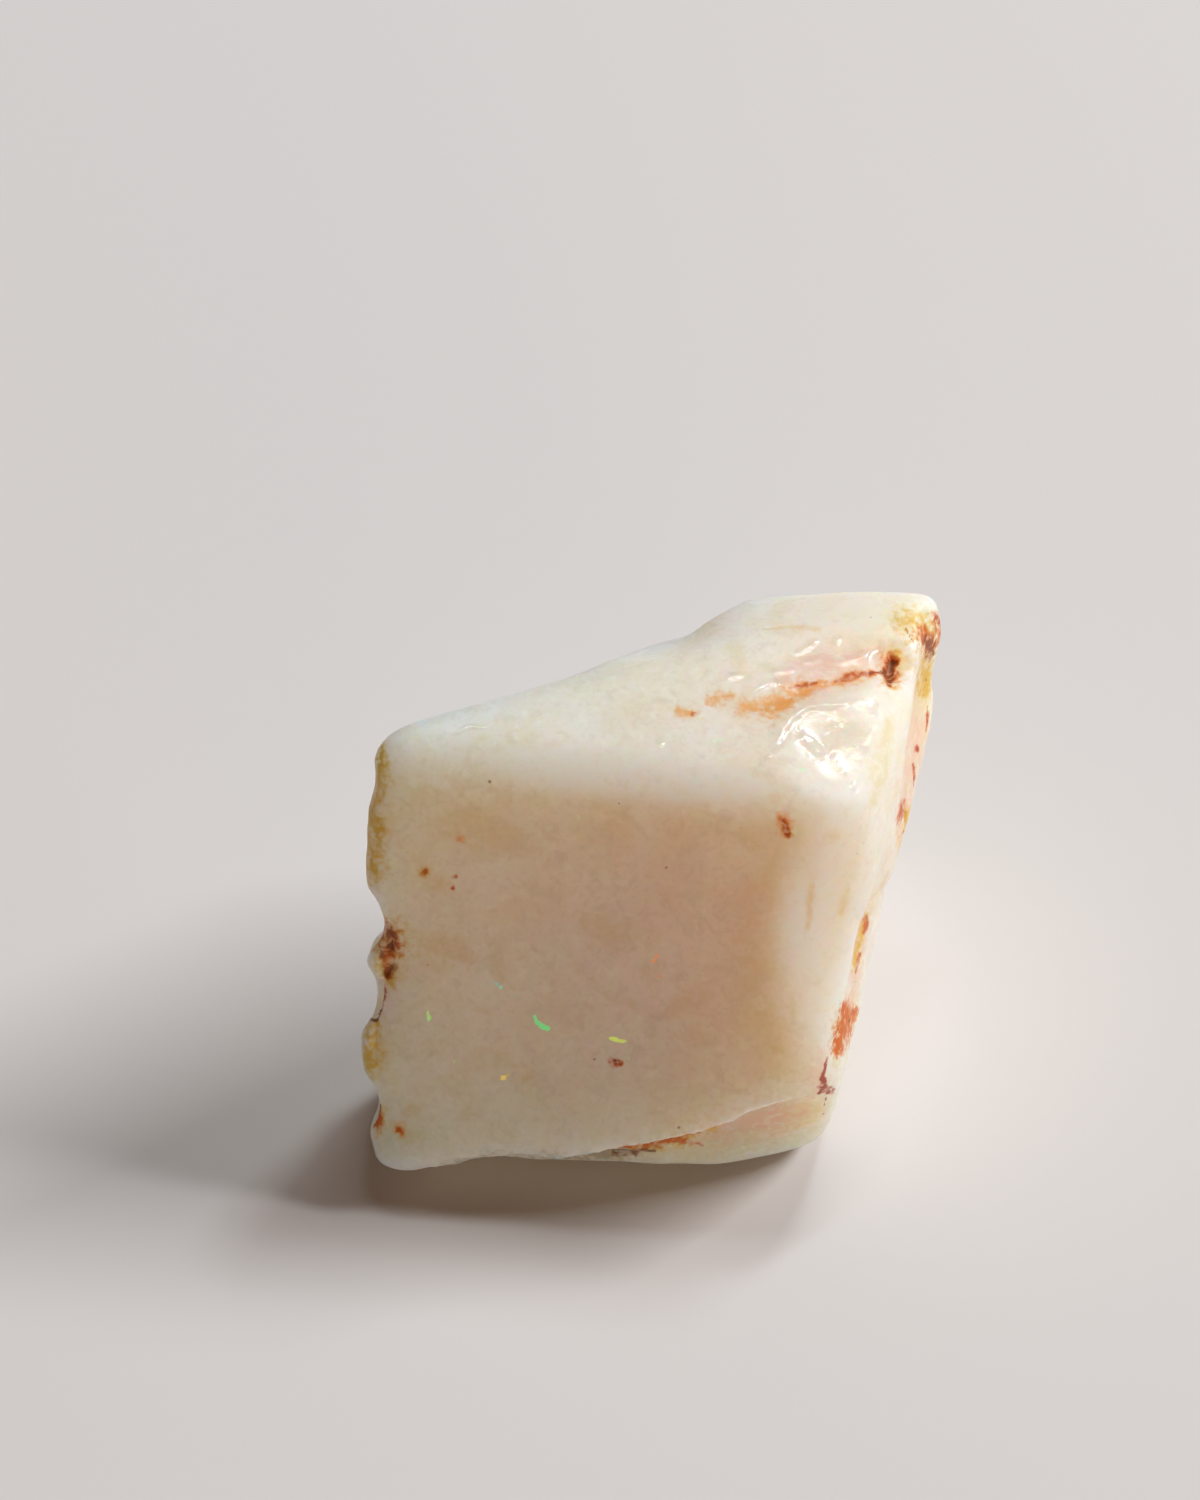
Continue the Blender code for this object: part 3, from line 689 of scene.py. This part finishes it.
for middle, face_way, spacing, height, reach in RIPPLES.values():
    away = np.linalg.norm(places - middle, axis=1)
    waves = np.sin((away + RIPPLE_BEND * unevenness(places, 2.0 * spacing)) / spacing * math.tau)
    same_face = smoothstep(*SAME_FACE, facings @ np.array(face_way))
    lift += height * waves * same_face * np.exp(-((away / reach) ** 2))
write_on_skin("wet", spread([(on_skin(line), WET * width) for line, width, _ in BEADS.values()], close))
shiny = [(on_skin(STEPS[name][0]), RIM_SHINE) for name in ("hollow rim", "hollow far rim")]
shiny += [(on_skin(BED[0]), BED[1])]
write_on_skin("rim", spread(shiny, close))
write_on_skin("dull", spread([(on_skin(DULL[0]), DULL[1])], close))
lift *= smoothstep(0.0, FOOT, places[:, 2])
places = places + lift[:, None] * facings
places[:, 2] = np.maximum(places[:, 2], 0.0)
opal.data.vertices.foreach_set("co", (places * MM).ravel())
opal.data.update()


# ----------------------------------------------------------------------------------------
# The opal, finish. Cream white, milky and waxy: light goes some millimetres into it and
# comes back warm. Clouds of yellow and pink run through it; stains and painted shade lie on top.
# ----------------------------------------------------------------------------------------
LIGHT_REACH = (1.0, 0.5, 0.26)   # red light goes deepest
LIGHT_DEPTH = 15.0
BENDING = 1.45                   # the opal's index of refraction
CREAM = (0.885, 0.823, 0.742, 1.0)
CLOUDS = {   # colour, size, detail, twist, where it starts, where it is full, how strong
    "straw": ((0.86, 0.79, 0.66, 1.0), 4.0, 4.0, 0.6, 0.42, 0.66, 1.0),
    "shell": ((0.85, 0.785, 0.675, 1.0), 2.6, 5.0, 0.8, 0.48, 0.70, 1.0),
    "tan": ((0.80, 0.73, 0.55, 1.0), 3.2, 7.0, 1.2, 0.54, 0.74, 0.8),
    "grey": ((0.74, 0.68, 0.57, 1.0), 1.0, 8.0, 0.9, 0.50, 0.72, 0.5),
    "milk": ((0.93, 0.89, 0.81, 1.0), 0.7, 6.0, 0.5, 0.52, 0.70, 0.5),
    "fleck": ((0.66, 0.57, 0.43, 1.0), 0.3, 3.0, 0.0, 0.48, 0.74, 0.22),
}
STAIN_LOOKS = {   # colour, how strong, depth where it starts, depth where it is full, raggedness
    "milk": ((0.865, 0.825, 0.755, 1.0), 0.90, -0.1, 0.5, 0.3),
    "tan": ((0.79, 0.705, 0.495, 1.0), 0.60, -0.2, 1.0, 0.5),
    "straw": ((0.76, 0.63, 0.385, 1.0), 0.65, -0.2, 1.1, 0.6),
    "blush": ((0.86, 0.55, 0.45, 1.0), 0.62, -0.2, 1.2, 0.5),
    # painted shade under the front edge, dark olive
    "painted_shade_under_lip": ((0.36, 0.31, 0.19, 1.0), 0.80, -0.2, 0.8, 0.5),
    "amber": ((0.83, 0.43, 0.09, 1.0), 0.90, -0.3, 1.0, 0.8),
    "ochre": ((0.76, 0.49, 0.05, 1.0), 0.90, -0.3, 0.9, 0.9),
    "rust": ((0.62, 0.135, 0.008, 1.0), 1.00, -0.3, 0.7, 0.9),
    "red": ((0.42, 0.045, 0.012, 1.0), 0.90, -0.2, 0.5, 0.7),
    "umber": ((0.20, 0.058, 0.012, 1.0), 0.90, -0.2, 0.7, 0.8),
}
EARTHY = ("ochre", "rust", "red", "umber")   # these lie on the stone
EARTH_BLOCKS = 0.85                          # and keep this share of the light out
RAGS = (0.3, 6.0, 0.3)       # size, detail and twist of the lumps that tear a stain's edge
PATCHES = (0.55, 6.0, 0.6)   # and of those that make it stronger and weaker inside
PALE_PATCH = 0.35            # down to this strength
FIRE_REDDEST = (0.95, 0.25, 0.12, 1.0)
FIRE_BLUEST = (0.15, 0.55, 0.95, 1.0)
FIRE_BETWEEN = ((0.45, (0.75, 0.85, 0.10, 1.0)), (0.72, (0.10, 0.85, 0.30, 1.0)))
# the fire is painted reflection: its colour laid into the base colour, and a painted glow
FIRE_RAGS = 2.6              # how torn a fleck's edge is
FIRE_COLOUR = 0.8            # how much of its colour is its own
FIRE_PAINTED_GLOW = 0.35
WORN = (0.36, 0.5)           # the roughness of the worn skin, from and to
GLOSS = 0.28                 # how much less it is where the opal is wet-looking
DULLNESS = 0.3               # and how much more on the hollow's right wall
PORES = 0.02                 # depth of the finest unevenness, which is left to the finish


def opal_finish():
    """Milky opal with its clouds, stains and painted shade, and fire painted as colour and glow."""
    material = bpy.data.materials.new("milky_opal")
    material.use_nodes = True
    nodes, links = material.node_tree.nodes, material.node_tree.links
    shader = nodes["Principled BSDF"]
    shader.inputs["IOR"].default_value = BENDING
    shader.inputs["Subsurface Radius"].default_value = LIGHT_REACH
    shader.inputs["Subsurface Scale"].default_value = LIGHT_DEPTH * MM

    where = nodes.new("ShaderNodeTexCoord")
    to_mm = nodes.new("ShaderNodeVectorMath")
    to_mm.operation = "SCALE"
    to_mm.inputs["Scale"].default_value = 1.0 / MM
    links.new(where.outputs["Object"], to_mm.inputs[0])

    def lumps(size, detail, distortion=0.0):
        """Random cloud, in lumps of about size, around 0.5."""
        cloud = nodes.new("ShaderNodeTexNoise")
        cloud.inputs["Scale"].default_value = 1.0 / size
        cloud.inputs["Detail"].default_value = detail
        cloud.inputs["Distortion"].default_value = distortion
        links.new(to_mm.outputs[0], cloud.inputs["Vector"])
        return cloud.outputs["Fac"]

    def ramp(value, low, high, start=0.0, end=1.0):
        """A soft rise from start to end as the value goes from low to high."""
        rise = nodes.new("ShaderNodeMapRange")
        rise.interpolation_type = "SMOOTHSTEP"
        for name, number in (("From Min", low), ("From Max", high), ("To Min", start), ("To Max", end)):
            rise.inputs[name].default_value = number
        links.new(value, rise.inputs["Value"])
        return rise.outputs["Result"]

    def work(operation, first, second):
        """One sum on two values, each a socket or a number."""
        node = nodes.new("ShaderNodeMath")
        node.operation = operation
        for socket, value in zip(node.inputs, (first, second)):
            if isinstance(value, (int, float)):
                socket.default_value = value
            else:
                links.new(value, socket)
        return node.outputs[0]

    def over(colour, top_colour, amount):
        """The top colour laid over the colour by that amount."""
        mix = nodes.new("ShaderNodeMix")
        mix.data_type = "RGBA"
        for socket, value in ((mix.inputs[6], colour), (mix.inputs[7], top_colour)):
            if isinstance(value, tuple):
                socket.default_value = value
            else:
                links.new(value, socket)
        links.new(amount, mix.inputs[0])
        return mix.outputs[2]

    def kept(name):
        """A number that was written on the skin."""
        layer = nodes.new("ShaderNodeAttribute")
        layer.attribute_name = name
        return layer.outputs["Fac"]

    colour = CREAM
    for cloud, size, detail, twist, start, full, strength in CLOUDS.values():
        amount = ramp(lumps(size, detail, twist), start, full, 0.0, strength)
        colour = over(colour, cloud, amount)
    rags = work("SUBTRACT", lumps(*RAGS), 0.5)
    density = ramp(lumps(*PATCHES), 0.36, 0.54, PALE_PATCH, 1.0)
    clear = 1.0
    for kind, (stain, strength, start, full, ragged) in STAIN_LOOKS.items():
        depth = work("ADD", kept(kind), work("MULTIPLY", rags, 2.0 * ragged))
        amount = work("MULTIPLY", ramp(depth, start, full, 0.0, strength), density)
        colour = over(colour, stain, amount)
        if kind in EARTHY:
            blocked = work("MULTIPLY", amount, EARTH_BLOCKS)
            clear = work("MINIMUM", clear, work("SUBTRACT", 1.0, blocked))
    links.new(clear, shader.inputs["Subsurface Weight"])

    fire = work("ADD", kept("fire"), work("MULTIPLY", rags, FIRE_RAGS))
    glint = ramp(fire, 0.0, 0.8)
    hues = nodes.new("ShaderNodeValToRGB")
    hues.color_ramp.elements[0].color = FIRE_REDDEST
    hues.color_ramp.elements[1].color = FIRE_BLUEST
    for position, hue in FIRE_BETWEEN:
        hues.color_ramp.elements.new(position).color = hue
    links.new(kept("fire_hue"), hues.inputs[0])
    # painted reflection: the fire's colour over the base colour and a painted glow as emission
    colour = over(colour, hues.outputs[0], work("MULTIPLY", glint, FIRE_COLOUR))
    links.new(colour, shader.inputs["Base Color"])
    links.new(hues.outputs[0], shader.inputs["Emission Color"])
    links.new(work("MULTIPLY", glint, FIRE_PAINTED_GLOW), shader.inputs["Emission Strength"])

    worn = ramp(lumps(1.6, 5.0, 0.4), 0.3, 0.7, *WORN)
    glossy = work("MAXIMUM", ramp(kept("wet"), 0.0, 0.5), ramp(kept("rim"), 0.0, 0.6))
    dull = ramp(kept("dull"), 0.0, 0.6)
    glossy = work("MULTIPLY", glossy, work("SUBTRACT", 1.0, dull))
    worn = work("ADD", worn, work("MULTIPLY", dull, DULLNESS))
    links.new(work("SUBTRACT", worn, work("MULTIPLY", glossy, GLOSS)), shader.inputs["Roughness"])
    relief = nodes.new("ShaderNodeBump")
    relief.inputs["Strength"].default_value = 1.0
    relief.inputs["Distance"].default_value = PORES * MM
    links.new(lumps(0.5, 6.0, 0.3), relief.inputs["Height"])
    links.new(relief.outputs[0], shader.inputs["Normal"])
    return material


opal.data.materials.clear()
opal.data.materials.append(opal_finish())
opal.data.shade_smooth()
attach(opal, "root")
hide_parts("opal")


# ----------------------------------------------------------------------------------------
# The table. A wide, plain, pale sheet that the stone rests on.
# ----------------------------------------------------------------------------------------
TABLE_REACH = 1.2
TABLE_SIDES = 96
TABLE_WHITE = (0.80, 0.785, 0.78, 1.0)
TABLE_ROUGHNESS = 0.9
TABLE_SHINE = 0.1


def pale_table():
    """A flat pale disc under the stone."""
    bm = bmesh.new()
    bmesh.ops.create_circle(bm, cap_ends=True, segments=TABLE_SIDES, radius=TABLE_REACH)
    mesh = bpy.data.meshes.new("table")
    bm.to_mesh(mesh)
    bm.free()
    table = bpy.data.objects.new("table", mesh)
    bpy.context.scene.collection.objects.link(table)
    material = bpy.data.materials.new("pale_table")
    material.use_nodes = True
    shader = material.node_tree.nodes["Principled BSDF"]
    shader.inputs["Base Color"].default_value = TABLE_WHITE
    shader.inputs["Roughness"].default_value = TABLE_ROUGHNESS
    shader.inputs["Specular IOR Level"].default_value = TABLE_SHINE
    mesh.materials.append(material)
    return table


pale_table()


# ----------------------------------------------------------------------------------------
# The light. A wide soft lamp low on the right, a smaller one high behind it, a long thin
# one higher still that draws the small glints, a warm card in front and a dim warm room.
# ----------------------------------------------------------------------------------------
LAMP_DISTANCE = 1.5
LAMPS = {   # compass, height, length, width, lean of its long way, watts, colour
    "side_lamp": (21.0, 36.0, 0.60, 0.16, 0.0, 18.0, (1.0, 0.985, 0.985)),
    "back_lamp": (62.0, 52.0, 0.20, 0.20, 0.0, 4.7, (0.86, 0.96, 1.0)),
    "glint_lamp": (80.0, 63.0, 0.48, 0.10, 46.0, 3.1, (0.98, 1.0, 1.0)),
    "front_card": (-72.0, 5.0, 0.60, 0.60, 0.0, 5.2, (1.0, 0.75, 0.49)),
}
ROOM_COLOUR = (1.0, 0.54, 0.34, 1.0)
ROOM_STRENGTH = 0.075


def soft_lamp(name, compass, height, length, width, lean, watts, tint):
    """A flat lamp that shines on the stone from that compass direction and height."""
    a, b, c = math.radians(compass), math.radians(height), math.radians(lean)
    towards = Vector((math.cos(a) * math.cos(b), math.sin(a) * math.cos(b), math.sin(b)))
    level = Vector((-math.sin(a), math.cos(a), 0.0))
    upright = towards.cross(level)
    long_way = level * math.cos(c) + upright * math.sin(c)
    light = bpy.data.lights.new(name, "AREA")
    light.shape = "RECTANGLE"
    light.size = length
    light.size_y = width
    light.energy = watts
    light.color = tint
    lamp = bpy.data.objects.new(name, light)
    turn = Matrix((long_way, towards.cross(long_way), towards)).transposed()
    lamp.matrix_world = Matrix.Translation(towards * LAMP_DISTANCE) @ turn.to_4x4()
    bpy.context.scene.collection.objects.link(lamp)


for name, settings in LAMPS.items():
    soft_lamp(name, *settings)

room = bpy.data.worlds.new("room")
room.use_nodes = True
room.node_tree.nodes["Background"].inputs["Color"].default_value = ROOM_COLOUR
room.node_tree.nodes["Background"].inputs["Strength"].default_value = ROOM_STRENGTH
bpy.context.scene.world = room
bpy.context.scene.view_settings.view_transform = "Standard"


# ----------------------------------------------------------------------------------------
# The camera. A long lens that looks down on the stone from in front.
# ----------------------------------------------------------------------------------------
CAMERA_HEIGHT = 52.0
CAMERA_LENS = 200.0
CAMERA_DISTANCE = 0.4386
LOOKED_AT = Vector((-2.51, 9.69, 10.0)) * MM
NEAREST_SEEN, FURTHEST_SEEN = 0.01, 10.0

tilt = math.radians(CAMERA_HEIGHT)
backwards = Vector((0.0, -math.cos(tilt), math.sin(tilt)))
lens = bpy.data.cameras.new("camera")
lens.lens = CAMERA_LENS
lens.clip_start = NEAREST_SEEN
lens.clip_end = FURTHEST_SEEN
camera = bpy.data.objects.new("camera", lens)
camera.location = LOOKED_AT + backwards * CAMERA_DISTANCE
camera.rotation_mode = "QUATERNION"
camera.rotation_quaternion = backwards.to_track_quat("Z", "Y")
bpy.context.scene.collection.objects.link(camera)
bpy.context.scene.camera = camera
